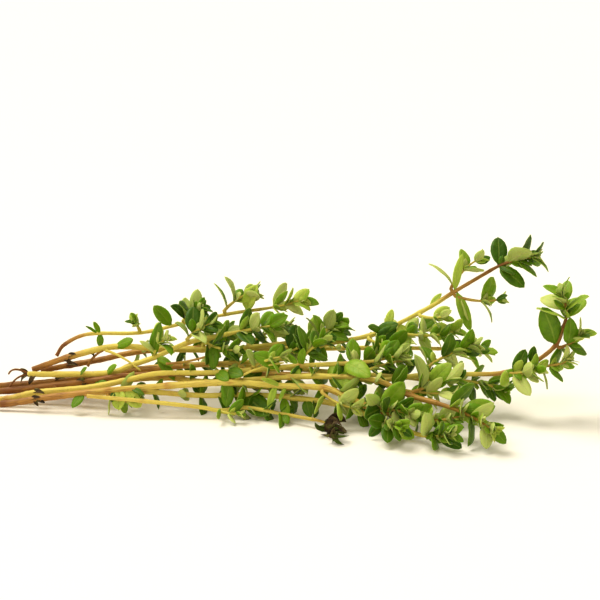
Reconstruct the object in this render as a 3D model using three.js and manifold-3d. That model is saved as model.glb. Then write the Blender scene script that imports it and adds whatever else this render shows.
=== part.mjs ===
// A loose bunch of fresh-cut thyme lying on a flat surface, in millimetres.
// Cut stem ends point to -X, leafy tips to +X, and the surface is the plane Z = 0.
// Each sprig has one woody stem. Leafy side shoots and an end shoot grow from it, and each shoot is one
// piece: a short green stemlet with pairs of leaves, every pair turned a quarter from the pair before.

import * as THREE from "three";
import { mergeVertices } from "three/addons/utils/BufferGeometryUtils.js";
import Module from "manifold-3d";

const wasm = await Module();
wasm.setup();

// Driving dimensions
const GAP = 0.3; // clear space between a shoot and the stem that carries it
const STEM_SIDES = 6;
const STEPS_PER_SPAN = 2; // tube sections between two route points
const SHOOT_SIDES = 5;
const SHOOT_STEPS = 3;
const SHOOT_RADIUS = [0.6, 0.35]; // at the foot, at the tip
const SHOOT_BOW = 0.15; // how far a shoot leans out before it follows its stem, of its length
const PAIR_CROWDING = 1.35; // above 1, the pairs of leaves close up towards a shoot's tip
const OPENING = [76, 34]; // angle between leaf and stemlet at the foot and at the tip, degrees
const OPENING_SPREAD = 16; // how much that angle differs from leaf to leaf, degrees
const TIP_SHRINK = 0.42; // how much shorter the last pair is than the first, of its length
const LEAF_LENGTHS = [0.82, 1.18]; // shortest and longest leaf of a shoot, of its planned length
const LEAN = [0.2, -0.4, 0.9]; // the side of a stemlet that its first leaves are counted from
const COLLAR_AT = 0.1; // place of the single leaf below a shoot, along the stemlet
const COLLAR_LENGTHS = [0.85, 1.05]; // shortest and longest of those leaves, of the shoot's leaf length
const COLLAR_OPENING = 98; // degrees
const LEAF_ROOT = 0.6; // how far before its place a leaf starts inside the stemlet
const LEAF_WIDTH = 0.7; // of a leaf's length, across its widest corners
const LIGHT = [-0.15, -0.7, 0.7]; // where the light came from that the blades turned to
const FACING = [0.05, 0.8]; // how far they turned, least and most
const LEAF_THICKNESS = 0.75;
const LEAF_FOLD = 0.1; // rise of a leaf's sides above its midrib, of its width
const LEAF_DROOP = 0.1; // drop of a leaf's tip, of its length
const WITHERED_SHOOT = "sprig_09_shoot_2"; // its leaves have dried up
const CLEARANCE = 0.2; // least space between a leaf and any other piece
const LEAF_TURNS = [0, 24, -24, 48, -48]; // turns that a leaf tries about its stemlet until it is clear
const LEAF_CUTS = [1, 0.75]; // lengths that a leaf tries
const CENTRE = [-0.49, -2.39, 0.03]; // middle of the footprint and lowest point, where the origin goes
const TIP_SHIFTS = [ // places that a shoot's tip tries until its stemlet is clear
  [0, 0, 0], [0, 0, 2], [0, 2, 0], [0, -2, 0], [0, 0, -2],
  [0, 3, 2], [0, -3, 2], [0, 3, -2], [0, -3, -2], [2, 0, 4], [-2, 0, 4],
];

// Every sprig: the route of its stem from the cut end to its tip, the stem's radius at both ends, and its
// shoots: [place along the route counted in route points, tip, pairs of leaves, leaf length, turn in degrees].
const SPRIGS = [
  {
    name: "sprig_01",
    radius: [1, 0.75],
    route: [[-75, 12, 8.6], [-64, 10.5, 13], [-50, 12, 16], [-37, 12, 15.5], [-22, 12, 15], [-8, 13, 15.5], [8, 14, 17]],
    shoots: [
      [4, [-13, 15, 19.5], 5, 8, 20],
      [5, [4, 21, 20], 5, 8, 60],
      [6, [21, 15, 21], 5, 8.5, 10],
    ],
  },
  {
    name: "sprig_02",
    radius: [0.6, 0.5],
    route: [
      [-67.5, 11.5, 13.2], [-65, 13, 16.5], [-58, 15, 19.2], [-45, 16, 19.2],
      [-39, 16, 19.8], [-28, 16, 22.5], [-14, 16, 25.5], [-4, 16, 27],
    ],
    shoots: [
      [3.5, [-43.2, 14.5, 23.2], 2, 6.5, 20],
      [5, [-23, 13, 28], 5, 8, 30],
      [5.9, [-7, 17, 32], 3, 9.5, 70],
      [7, [8, 15, 30], 4, 10, 0],
    ],
  },
  {
    name: "sprig_03",
    radius: [0.95, 0.65],
    route: [
      [-73, 15, 7.3], [-64, 15.5, 9], [-55, 16, 10.5], [-42, 17.5, 12.8], [-24, 19, 13.5],
      [-4, 20, 13], [16, 22, 12.5], [36, 26, 11.5], [52, 30, 10],
    ],
    shoots: [
      [4, [-14, 25, 16], 4, 8, 40],
      [5, [12, 29, 13], 5, 8, 0],
      [7, [50, 33, 16], 6, 8, 10],
      [8, [68, 34, 8], 6, 8.5, 40],
    ],
  },
  {
    name: "sprig_04",
    radius: [0.95, 0.7],
    route: [
      [-76, 8, 8.4], [-67, 7.5, 8.5], [-51, 6.5, 9.2], [-44, 6, 11.8], [-36, 5.5, 14.8],
      [-26, 5, 19.5], [-14, 5.5, 22],
    ],
    shoots: [
      [4, [-33, 3, 21], 2, 7.5, 20],
      [5, [-19, 3, 26], 4, 8, 0],
      [5.4, [-12, 0, 18.5], 4, 8.5, 40],
      [6, [1, 5, 25], 5, 9.5, 15],
    ],
  },
  {
    name: "sprig_05",
    radius: [1, 0.6],
    route: [
      [-97, 11, 3], [-82, 11, 3.9], [-68, 11, 5.1], [-53, 10.5, 7.4], [-38, 10, 9.3], [-22, 9, 11.2],
      [-10, 8, 12.1], [3, 9, 13.2], [14, 10, 16.9], [29, 12, 19.5], [36, 12, 22.3], [48, 12, 28.8],
      [55, 12, 33.4], [66, 12, 40.2],
    ],
    shoots: [
      [7, [11, 4, 19.5], 4, 8.5, 30],
      [8, [19, 13, 23.5], 4, 8, 0],
      [9, [39, 5, 17], 6, 8.5, 50],
      [10.7, [51.5, 7, 27], 2, 7, 15],
      [10, [55, 6, 22.6], 6, 8, 0],
      [12, [68.5, 10, 31.6], 2, 9, 35],
      [12, [62, 14, 43], 2, 10, 10],
      [13, [79, 12, 44.5], 5, 10, 30],
    ],
  },
  {
    name: "sprig_06",
    radius: [1, 0.65],
    route: [
      [-97, 7, 2.4], [-82, 6, 3.7], [-66, 6, 5.6], [-55, 5.5, 7.2], [-46, 3.5, 9.2], [-34, 2.5, 10.2],
      [-20, 1, 10.8], [-5, 0, 11], [10, -2, 11.2], [22, -3.5, 11], [31, -5, 10.5], [45, -6, 12.5],
      [57, -7, 13.1], [69, -8, 13.9], [78, -8, 17.4], [84, -8, 22.5], [86, -8, 28],
    ],
    shoots: [
      [9, [35, 0, 18], 6, 8.5, 20],
      [10, [52, -16, 10], 5, 8.5, 60],
      [11, [60.5, 0, 20], 6, 8.5, 0],
      [13, [78, -12, 16], 4, 9, 40],
      [14, [87.5, -9, 18], 3, 8.5, 0],
      [15, [91, -8, 25.5], 3, 9, 50],
      [16, [85.5, -8, 37.5], 4, 10.5, 10],
    ],
  },
  {
    name: "sprig_07",
    radius: [0.95, 0.75],
    route: [
      [-97, 2, 1.2], [-82, 2, 2.3], [-73, 1.5, 4.5], [-57, 0.5, 6.4], [-46, 0, 8.7], [-35, -1.5, 11.6],
      [-20, -2, 12], [-6, -3, 13.2], [8, -4, 14.8], [23, -6, 16.2],
    ],
    shoots: [
      [7, [2.5, -7, 18.5], 2, 8.5, 0],
      [8, [15.5, -1, 22], 4, 8.5, 40],
      [9, [38, -8, 19.5], 5, 9, 20],
    ],
  },
  {
    name: "sprig_08",
    radius: [1, 0.9],
    route: [
      [-97, -1, 0.9], [-82, -2, 2.1], [-68, -3, 4.5], [-50, -4, 7], [-32, -5.5, 9], [-13, -7, 10.5],
      [1, -9, 10.2], [15, -12, 10.4], [22, -15, 8.4], [30, -18, 5.8], [39, -21, 4.4],
    ],
    shoots: [
      [3, [-44, -9, 4.5], 2, 7, 50],
      [5, [8, -3, 3], 4, 8, 20],
      [7, [23.5, -19, 6.5], 2, 8.5, 0],
      [9, [40, -29, 8], 6, 9, 40],
      [10, [54, -28, 7], 6, 9, 10],
    ],
  },
  {
    name: "sprig_09",
    radius: [0.65, 0.5],
    route: [
      [-56, -6.5, 6.1], [-39, -8, 5], [-22, -9, 3.4], [-16, -9.5, 2.6], [-8, -10, 3.6], [3, -13, 2.6],
      [12, -18, 2.6],
    ],
    shoots: [
      [3, [-10.5, -14, 3], 2, 6, 45],
      [6, [18, -31, 2.6], 4, 6.5, 20],
    ],
  },
  {
    name: "sprig_10",
    radius: [0.95, 0.8],
    route: [
      [-92, 5, 1], [-78, 4.4, 1.8], [-62, 3, 3.8], [-50, 0, 5.2], [-39, -2.5, 6.2], [-22, -3, 5.1],
      [-10, -4, 5.7], [3, -7, 6], [20, -12, 5.1], [32, -22, 3.4], [40, -29, 2.6],
    ],
    shoots: [
      [8, [36, -10, 4], 6, 8.5, 0],
      [9, [36, -35, 6], 6, 9, 50],
      [10, [50, -38, 5], 6, 9, 15],
    ],
  },
  {
    name: "sprig_11",
    radius: [0.95, 0.75],
    route: [
      [-96, 15, 1], [-80, 15, 1.4], [-62, 13, 3.2], [-46, 9, 6.2], [-34, 5.5, 8], [-20, -1.5, 9],
      [-10, -4, 10.2], [5, -7, 12.2], [18, -9, 13], [31, -13, 13], [40, -18, 10.2], [48, -24, 9.6],
    ],
    shoots: [
      [8.5, [39, -6, 17], 4, 8.5, 30],
      [10, [54.5, -10, 12.5], 6, 9, 0],
      [11, [62, -37, 6.5], 6, 10.5, 40],
    ],
  },
  {
    name: "sprig_12",
    radius: [0.9, 0.65],
    route: [
      [-90, 19, 1], [-70, 20, 2], [-50, 21, 5], [-30, 22, 7], [-10, 18, 8], [10, 12, 8.5], [28, 6, 9],
      [44, 0, 9.5], [57, -4, 10],
    ],
    shoots: [
      [7, [56, 8, 8], 6, 8.5, 50],
      [8, [69, -7, 8], 6, 9, 10],
    ],
  },
];

const mix = (pair, share) => pair[0] + (pair[1] - pair[0]) * share;
const radians = (degrees) => (degrees * Math.PI) / 180;

// A repeatable value from 0 to 1 for each whole number, so leaves differ in the same way every time.
function variation(number) {
  const wave = Math.sin(number * 12.9898) * 43758.5453;
  return wave - Math.floor(wave);
}

function solidOf(geometry) {
  geometry.deleteAttribute("normal");
  geometry.deleteAttribute("uv");
  const merged = mergeVertices(geometry, 1e-4);
  const vertProperties = new Float32Array(merged.attributes.position.array);
  const triVerts = new Uint32Array(merged.index.array);
  return new wasm.Manifold(new wasm.Mesh({ numProp: 3, vertProperties, triVerts }));
}

function geometryOf(solid) {
  const mesh = solid.getMesh();
  const geometry = new THREE.BufferGeometry();
  geometry.setAttribute("position", new THREE.BufferAttribute(mesh.vertProperties, 3));
  geometry.setIndex(new THREE.BufferAttribute(mesh.triVerts, 1));
  geometry.computeVertexNormals();
  return geometry;
}

// A closed tube along a curve whose radius runs evenly from radius[0] to radius[1].
function taperedTube(curve, steps, sides, radius) {
  const corners = [];
  for (let side = 0; side < sides; side += 1) {
    const angle = (side / sides) * 2 * Math.PI;
    corners.push(new THREE.Vector2(Math.cos(angle), Math.sin(angle)));
  }
  const geometry = new THREE.ExtrudeGeometry(new THREE.Shape(corners), { steps, extrudePath: curve });
  const centres = curve.getSpacedPoints(steps);
  const position = geometry.attributes.position;
  const point = new THREE.Vector3();
  for (let index = 0; index < position.count; index += 1) {
    point.fromBufferAttribute(position, index);
    const distances = centres.map((centre) => Math.abs(centre.distanceTo(point) - 1));
    const nearest = distances.indexOf(Math.min(...distances));
    point.sub(centres[nearest]).multiplyScalar(mix(radius, nearest / steps)).add(centres[nearest]);
    position.setXYZ(index, point.x, point.y, point.z);
  }
  return solidOf(geometry);
}

// A leaf along +X from its foot at the origin: a six-sided lens with its sides raised and its tip lowered.
function leafGeometry(length, width) {
  const geometry = new THREE.SphereGeometry(1, 6, 2);
  geometry.rotateX(Math.PI / 2);
  const position = geometry.attributes.position;
  for (let index = 0; index < position.count; index += 1) {
    const along = (position.getX(index) + 1) / 2;
    const across = position.getY(index) / 2;
    const arch = LEAF_DROOP * length * along * (1 - 2 * along);
    const rise = LEAF_FOLD * width * Math.abs(across) * 2;
    const height = (position.getZ(index) * LEAF_THICKNESS) / 2;
    position.setXYZ(index, along * length, across * width, height + arch + rise);
  }
  return geometry;
}

function leafSolid(foot, direction, upper, length, width) {
  const side = new THREE.Vector3().crossVectors(upper, direction);
  const place = new THREE.Matrix4().makeBasis(direction, side, upper).setPosition(foot);
  return solidOf(leafGeometry(length, width).applyMatrix4(place));
}

function stemCurve(sprig) {
  const points = sprig.route.map((point) => new THREE.Vector3(...point));
  return new THREE.CatmullRomCurve3(points, false, "catmullrom", 0.5);
}

// The curve of a shoot's stemlet: out from the stem's surface, or straight on where it ends the stem.
function shootCurve(sprig, curve, at, tip) {
  const share = at / (sprig.route.length - 1);
  const centre = curve.getPoint(share);
  const along = curve.getTangent(share);
  if (share === 1) {
    const foot = centre.clone().addScaledVector(along, GAP);
    const bend = foot.clone().addScaledVector(along, foot.distanceTo(tip) / 2);
    return { curve: new THREE.QuadraticBezierCurve3(foot, bend, tip), along, outward: null };
  }
  const reach = tip.clone().sub(centre);
  const outward = reach.addScaledVector(along, -reach.dot(along)).normalize();
  const distance = mix(sprig.radius, share) + GAP + SHOOT_RADIUS[0] * 0.8;
  const foot = centre.clone().addScaledVector(outward, distance);
  const bend = foot.clone().add(tip).multiplyScalar(0.5);
  bend.addScaledVector(outward, SHOOT_BOW * foot.distanceTo(tip));
  return { curve: new THREE.QuadraticBezierCurve3(foot, bend, tip), along, outward };
}

// Foot, direction, upper side and size of every leaf of a shoot, for a turn about the stemlet.
function leafPlaces(stemlet, pairs, leafLength, roll, seed) {
  const places = [];
  const lean = new THREE.Vector3(...LEAN);
  for (let number = 0; number < pairs * 2; number += 1) {
    const pair = Math.floor(number / 2);
    const share = 1 - (1 - (pair + 1) / pairs) ** PAIR_CROWDING;
    const axis = stemlet.curve.getTangent(share);
    const foot = stemlet.curve.getPoint(share).addScaledVector(axis, -LEAF_ROOT);
    const first = new THREE.Vector3().crossVectors(axis, lean).normalize();
    const second = new THREE.Vector3().crossVectors(axis, first);
    const opening = radians(mix(OPENING, share) + OPENING_SPREAD * (variation(seed + number) - 0.5));
    const angle = radians(roll + 90 * pair + 180 * (number % 2));
    const own = mix(LEAF_LENGTHS, variation(seed + number + 50));
    const length = leafLength * (1 - TIP_SHRINK * share ** 2) * own;
    const facing = mix(FACING, variation(seed + number + 20));
    places.push({ foot, axis, first, second, opening, angle, length, facing });
  }
  if (stemlet.outward) {
    const foot = stemlet.curve.getPoint(COLLAR_AT);
    const length = leafLength * mix(COLLAR_LENGTHS, variation(seed + 90));
    const second = new THREE.Vector3().crossVectors(stemlet.along, stemlet.outward);
    const first = stemlet.outward;
    const opening = radians(COLLAR_OPENING);
    places.push({ foot, axis: stemlet.along, first, second, opening, angle: 0, length, facing: FACING[0] });
  }
  return places;
}

function placedLeaf(place, turn, cut) {
  const angle = place.angle + radians(turn);
  const outward = place.first.clone().multiplyScalar(Math.cos(angle));
  outward.addScaledVector(place.second, Math.sin(angle));
  const direction = place.axis.clone().multiplyScalar(Math.cos(place.opening));
  direction.addScaledVector(outward, Math.sin(place.opening));
  const upper = place.axis.clone().multiplyScalar(Math.sin(place.opening));
  upper.addScaledVector(outward, -Math.cos(place.opening));
  upper.multiplyScalar(1 - place.facing).addScaledVector(new THREE.Vector3(...LIGHT), place.facing);
  upper.addScaledVector(direction, -upper.dot(direction)).normalize();
  const length = place.length * cut;
  return leafSolid(place.foot, direction, upper, length, length * LEAF_WIDTH);
}

const placed = new Map(); // every solid so far by name, with its box

function keep(name, solid) {
  placed.set(name, { solid, box: solid.boundingBox() });
}

// True where a solid of the named piece lies above the surface and clear of every other piece.
function isClear(name, solid, clearance) {
  const box = solid.boundingBox();
  if (box.min[2] < 0) {
    return false;
  }
  for (const [otherName, other] of placed) {
    const near = [0, 1, 2].every(
      (axis) => box.min[axis] - clearance < other.box.max[axis] && box.max[axis] + clearance > other.box.min[axis],
    );
    if (near && otherName !== name && other.solid.minGap(solid, clearance) < clearance) {
      return false;
    }
  }
  return true;
}

function keepStemlet(name, sprig, curve, shoot) {
  const [at, tip] = shoot;
  for (const shift of TIP_SHIFTS) {
    const end = new THREE.Vector3(...tip).add(new THREE.Vector3(...shift));
    const stemlet = shootCurve(sprig, curve, at, end);
    const tube = taperedTube(stemlet.curve, SHOOT_STEPS, SHOOT_SIDES, SHOOT_RADIUS);
    if (isClear(name, tube, GAP / 2)) {
      keep(name, tube);
      return stemlet;
    }
  }
  throw new Error(`no clear place for ${name}`);
}

// Each leaf takes the first turn and length that clear every other piece, and one that never does is left out.
function growLeaves(name, places) {
  const tries = LEAF_CUTS.flatMap((cut) => LEAF_TURNS.map((turn) => [turn, cut]));
  for (const place of places) {
    for (const [turn, cut] of tries) {
      const leaf = placedLeaf(place, turn, cut);
      if (isClear(name, leaf, CLEARANCE)) {
        keep(name, placed.get(name).solid.add(leaf));
        break;
      }
    }
  }
}

function stemMaterial() {
  return new THREE.MeshStandardMaterial({ color: 0xa8923f, roughness: 0.6, metalness: 0 });
}

function leafMaterial() {
  return new THREE.MeshStandardMaterial({ color: 0x56752f, roughness: 0.45, metalness: 0 });
}

function witheredMaterial() {
  return new THREE.MeshStandardMaterial({ color: 0x33261a, roughness: 0.8, metalness: 0 });
}

function named(name, material) {
  const mesh = new THREE.Mesh(geometryOf(placed.get(name).solid), material);
  mesh.name = name;
  return mesh;
}

const bunch = new THREE.Group();
bunch.position.set(...CENTRE).negate();
const stems = SPRIGS.map((sprig) => ({ name: `${sprig.name}_stem`, sprig, curve: stemCurve(sprig) }));
const shoots = stems.flatMap(({ sprig, curve }, index) =>
  sprig.shoots.map((shoot, order) => {
    const seed = (index + 1) * 1000 + (order + 1) * 100;
    return { name: `${sprig.name}_shoot_${order + 1}`, sprig, curve, shoot, seed };
  }),
);

for (const { name, sprig, curve } of stems) {
  const steps = (sprig.route.length - 1) * STEPS_PER_SPAN;
  keep(name, taperedTube(curve, steps, STEM_SIDES, sprig.radius));
  bunch.add(named(name, stemMaterial()));
}

for (const piece of shoots) {
  piece.stemlet = keepStemlet(piece.name, piece.sprig, piece.curve, piece.shoot);
}

for (const { name, stemlet, shoot, seed } of shoots) {
  const [, , pairs, leafLength, roll] = shoot;
  growLeaves(name, leafPlaces(stemlet, pairs, leafLength, roll, seed));
  bunch.add(named(name, name === WITHERED_SHOOT ? witheredMaterial() : leafMaterial()));
}

export default bunch;
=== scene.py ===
"""A loose bunch of fresh-cut thyme, dressed over its CAD frame.

Metres, with +X from the cut stem ends to the leafy tips and +Z up. The plan below is in millimetres and is
the one that the CAD solids follow; where a leaf was turned or left out there, the frame's own corners say so.
"""

import math

import bmesh
import bpy
import mathutils
import numpy as np
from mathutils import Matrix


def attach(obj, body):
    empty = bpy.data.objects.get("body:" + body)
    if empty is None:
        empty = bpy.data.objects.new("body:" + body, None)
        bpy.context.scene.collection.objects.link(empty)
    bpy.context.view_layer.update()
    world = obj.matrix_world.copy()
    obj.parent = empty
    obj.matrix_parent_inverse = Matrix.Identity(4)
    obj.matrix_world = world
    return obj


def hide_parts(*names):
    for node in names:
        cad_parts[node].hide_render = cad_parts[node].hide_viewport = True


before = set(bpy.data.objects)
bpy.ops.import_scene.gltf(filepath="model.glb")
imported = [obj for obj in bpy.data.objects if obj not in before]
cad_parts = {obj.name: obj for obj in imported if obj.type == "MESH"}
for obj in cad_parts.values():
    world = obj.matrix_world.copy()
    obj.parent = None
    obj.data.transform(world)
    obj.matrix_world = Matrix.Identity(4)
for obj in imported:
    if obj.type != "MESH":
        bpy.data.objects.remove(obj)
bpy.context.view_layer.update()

MM = 0.001
CENTRE = np.array([-0.49, -2.39, 0.03])  # the plan's point that lies at the frame's origin
GAP = 0.3
SHOOT_RADIUS = (0.6, 0.35)
SHOOT_BOW = 0.15
PAIR_CROWDING = 1.35
OPENING = (76.0, 34.0)
OPENING_SPREAD = 16.0
TIP_SHRINK = 0.42
LEAF_LENGTHS = (0.82, 1.18)
COLLAR_AT = 0.1
COLLAR_LENGTHS = (0.85, 1.05)
COLLAR_OPENING = 98.0
LEAF_ROOT = 0.6
LEAF_WIDTH = 0.7
LEAF_FOLD = 0.1
LEAF_DROOP = 0.1
LIGHT = np.array([-0.15, -0.7, 0.7])
FACING = (0.05, 0.8)
LEAN = np.array([0.2, -0.4, 0.9])
LEAF_TRIES = [(turn, cut) for cut in (1.0, 0.75) for turn in (0, 24, -24, 48, -48)]
TIP_SHIFTS = [
    (0, 0, 0), (0, 0, 2), (0, 2, 0), (0, -2, 0), (0, 0, -2),
    (0, 3, 2), (0, -3, 2), (0, 3, -2), (0, -3, -2), (2, 0, 4), (-2, 0, 4),
]
MATCH = 0.12  # how near a leaf's expected corner must be to a corner of the CAD solid

# Every sprig: its stem's route from the cut end to the tip, its radius at both ends, and its shoots:
# [place along the route counted in route points, tip, pairs of leaves, leaf length, turn in degrees].
SPRIGS = [
  {
    "name": "sprig_01",
    "radius": [1, 0.75],
    "route": [
      [-75, 12, 8.6], [-64, 10.5, 13], [-50, 12, 16], [-37, 12, 15.5],
      [-22, 12, 15], [-8, 13, 15.5], [8, 14, 17],
    ],
    "shoots": [
      [4, [-13, 15, 19.5], 5, 8, 20],
      [5, [4, 21, 20], 5, 8, 60],
      [6, [21, 15, 21], 5, 8.5, 10],
    ],
  },
  {
    "name": "sprig_02",
    "radius": [0.6, 0.5],
    "route": [
      [-67.5, 11.5, 13.2], [-65, 13, 16.5], [-58, 15, 19.2], [-45, 16, 19.2],
      [-39, 16, 19.8], [-28, 16, 22.5], [-14, 16, 25.5], [-4, 16, 27],
    ],
    "shoots": [
      [3.5, [-43.2, 14.5, 23.2], 2, 6.5, 20],
      [5, [-23, 13, 28], 5, 8, 30],
      [5.9, [-7, 17, 32], 3, 9.5, 70],
      [7, [8, 15, 30], 4, 10, 0],
    ],
  },
  {
    "name": "sprig_03",
    "radius": [0.95, 0.65],
    "route": [
      [-73, 15, 7.3], [-64, 15.5, 9], [-55, 16, 10.5], [-42, 17.5, 12.8], [-24, 19, 13.5],
      [-4, 20, 13], [16, 22, 12.5], [36, 26, 11.5], [52, 30, 10],
    ],
    "shoots": [
      [4, [-14, 25, 16], 4, 8, 40],
      [5, [12, 29, 13], 5, 8, 0],
      [7, [50, 33, 16], 6, 8, 10],
      [8, [68, 34, 8], 6, 8.5, 40],
    ],
  },
  {
    "name": "sprig_04",
    "radius": [0.95, 0.7],
    "route": [
      [-76, 8, 8.4], [-67, 7.5, 8.5], [-51, 6.5, 9.2], [-44, 6, 11.8], [-36, 5.5, 14.8],
      [-26, 5, 19.5], [-14, 5.5, 22],
    ],
    "shoots": [
      [4, [-33, 3, 21], 2, 7.5, 20],
      [5, [-19, 3, 26], 4, 8, 0],
      [5.4, [-12, 0, 18.5], 4, 8.5, 40],
      [6, [1, 5, 25], 5, 9.5, 15],
    ],
  },
  {
    "name": "sprig_05",
    "radius": [1, 0.6],
    "route": [
      [-97, 11, 3], [-82, 11, 3.9], [-68, 11, 5.1], [-53, 10.5, 7.4], [-38, 10, 9.3], [-22, 9, 11.2],
      [-10, 8, 12.1], [3, 9, 13.2], [14, 10, 16.9], [29, 12, 19.5], [36, 12, 22.3], [48, 12, 28.8],
      [55, 12, 33.4], [66, 12, 40.2],
    ],
    "shoots": [
      [7, [11, 4, 19.5], 4, 8.5, 30],
      [8, [19, 13, 23.5], 4, 8, 0],
      [9, [39, 5, 17], 6, 8.5, 50],
      [10.7, [51.5, 7, 27], 2, 7, 15],
      [10, [55, 6, 22.6], 6, 8, 0],
      [12, [68.5, 10, 31.6], 2, 9, 35],
      [12, [62, 14, 43], 2, 10, 10],
      [13, [79, 12, 44.5], 5, 10, 30],
    ],
  },
  {
    "name": "sprig_06",
    "radius": [1, 0.65],
    "route": [
      [-97, 7, 2.4], [-82, 6, 3.7], [-66, 6, 5.6], [-55, 5.5, 7.2], [-46, 3.5, 9.2], [-34, 2.5, 10.2],
      [-20, 1, 10.8], [-5, 0, 11], [10, -2, 11.2], [22, -3.5, 11], [31, -5, 10.5], [45, -6, 12.5],
      [57, -7, 13.1], [69, -8, 13.9], [78, -8, 17.4], [84, -8, 22.5], [86, -8, 28],
    ],
    "shoots": [
      [9, [35, 0, 18], 6, 8.5, 20],
      [10, [52, -16, 10], 5, 8.5, 60],
      [11, [60.5, 0, 20], 6, 8.5, 0],
      [13, [78, -12, 16], 4, 9, 40],
      [14, [87.5, -9, 18], 3, 8.5, 0],
      [15, [91, -8, 25.5], 3, 9, 50],
      [16, [85.5, -8, 37.5], 4, 10.5, 10],
    ],
  },
  {
    "name": "sprig_07",
    "radius": [0.95, 0.75],
    "route": [
      [-97, 2, 1.2], [-82, 2, 2.3], [-73, 1.5, 4.5], [-57, 0.5, 6.4], [-46, 0, 8.7], [-35, -1.5, 11.6],
      [-20, -2, 12], [-6, -3, 13.2], [8, -4, 14.8], [23, -6, 16.2],
    ],
    "shoots": [
      [7, [2.5, -7, 18.5], 2, 8.5, 0],
      [8, [15.5, -1, 22], 4, 8.5, 40],
      [9, [38, -8, 19.5], 5, 9, 20],
    ],
  },
  {
    "name": "sprig_08",
    "radius": [1, 0.9],
    "route": [
      [-97, -1, 0.9], [-82, -2, 2.1], [-68, -3, 4.5], [-50, -4, 7], [-32, -5.5, 9], [-13, -7, 10.5],
      [1, -9, 10.2], [15, -12, 10.4], [22, -15, 8.4], [30, -18, 5.8], [39, -21, 4.4],
    ],
    "shoots": [
      [3, [-44, -9, 4.5], 2, 7, 50],
      [5, [8, -3, 3], 4, 8, 20],
      [7, [23.5, -19, 6.5], 2, 8.5, 0],
      [9, [40, -29, 8], 6, 9, 40],
      [10, [54, -28, 7], 6, 9, 10],
    ],
  },
  {
    "name": "sprig_09",
    "radius": [0.65, 0.5],
    "route": [
      [-56, -6.5, 6.1], [-39, -8, 5], [-22, -9, 3.4], [-16, -9.5, 2.6], [-8, -10, 3.6], [3, -13, 2.6],
      [12, -18, 2.6],
    ],
    "shoots": [
      [3, [-10.5, -14, 3], 2, 6, 45],
      [6, [18, -31, 2.6], 4, 6.5, 20],
    ],
  },
  {
    "name": "sprig_10",
    "radius": [0.95, 0.8],
    "route": [
      [-92, 5, 1], [-78, 4.4, 1.8], [-62, 3, 3.8], [-50, 0, 5.2], [-39, -2.5, 6.2], [-22, -3, 5.1],
      [-10, -4, 5.7], [3, -7, 6], [20, -12, 5.1], [32, -22, 3.4], [40, -29, 2.6],
    ],
    "shoots": [
      [8, [36, -10, 4], 6, 8.5, 0],
      [9, [36, -35, 6], 6, 9, 50],
      [10, [50, -38, 5], 6, 9, 15],
    ],
  },
  {
    "name": "sprig_11",
    "radius": [0.95, 0.75],
    "route": [
      [-96, 15, 1], [-80, 15, 1.4], [-62, 13, 3.2], [-46, 9, 6.2], [-34, 5.5, 8], [-20, -1.5, 9],
      [-10, -4, 10.2], [5, -7, 12.2], [18, -9, 13], [31, -13, 13], [40, -18, 10.2], [48, -24, 9.6],
    ],
    "shoots": [
      [8.5, [39, -6, 17], 4, 8.5, 30],
      [10, [54.5, -10, 12.5], 6, 9, 0],
      [11, [62, -37, 6.5], 6, 10.5, 40],
    ],
  },
  {
    "name": "sprig_12",
    "radius": [0.9, 0.65],
    "route": [
      [-90, 19, 1], [-70, 20, 2], [-50, 21, 5], [-30, 22, 7], [-10, 18, 8], [10, 12, 8.5], [28, 6, 9],
      [44, 0, 9.5], [57, -4, 10],
    ],
    "shoots": [
      [7, [56, 8, 8], 6, 8.5, 50],
      [8, [69, -7, 8], 6, 9, 10],
    ],
  },
]

# How each stem is coloured, at its cut end, quarter, middle, three quarters and tip: 0 straw, 1 rust. The higher
# values at the three quarters and tip of sprig_08 and at the tip of sprig_07 are partly painted shade, darkening
# those stems where leaves shade them.
STEM_RUST_AND_SHADE = {
    "sprig_01": [1.0, 0.1, 0.0, 0.1, 0.2],
    "sprig_02": [1.1, 0.05, 0.0, 0.1, 0.2],
    "sprig_03": [0.9, 0.5, 0.1, 0.2, 0.3],
    "sprig_04": [0.1, 0.0, 0.0, 0.1, 0.1],
    "sprig_05": [0.85, 0.7, 0.3, -0.8, 1.0],
    "sprig_06": [1.0, 0.85, 0.45, 0.1, 0.9],
    "sprig_07": [0.35, 0.1, 0.0, 0.15, 0.3],
    "sprig_08": [0.95, 0.6, 0.2, 0.2, 0.5],
    "sprig_09": [0.3, 0.15, 0.1, 0.1, 0.3],
    "sprig_10": [0.4, 0.2, 0.1, 0.1, 0.2],
    "sprig_11": [0.8, 0.6, 0.2, 0.15, 0.6],
    "sprig_12": [0.9, 0.6, 0.2, 0.1, 0.2],
}

# How old each shoot's leaves look, in the order of the plan: 0 young and light, 1 old and dark.
SHOOT_AGE = {
    "sprig_01": [0.8, 0.8, 0.6],
    "sprig_02": [0.5, 0.95, 0.6, 0.2],
    "sprig_03": [0.8, 0.8, 0.5, 0.5],
    "sprig_04": [0.3, 0.95, 0.75, 0.8],
    "sprig_05": [0.9, 0.65, 0.8, 0.4, 0.45, 0.7, 0.7, 0.95],
    "sprig_06": [0.8, 0.5, 0.6, 0.55, 0.65, 0.65, 0.5],
    "sprig_07": [0.5, 0.8, 0.7],
    "sprig_08": [0.1, 0.95, 0.3, 0.75, 0.6],
    "sprig_09": [0.5, 1.0],
    "sprig_10": [0.95, 0.7, 0.7],
    "sprig_11": [0.8, 0.65, 0.45],
    "sprig_12": [0.95, 0.7],
}
WITHERED_SHOOT = "sprig_09_shoot_2"

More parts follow.
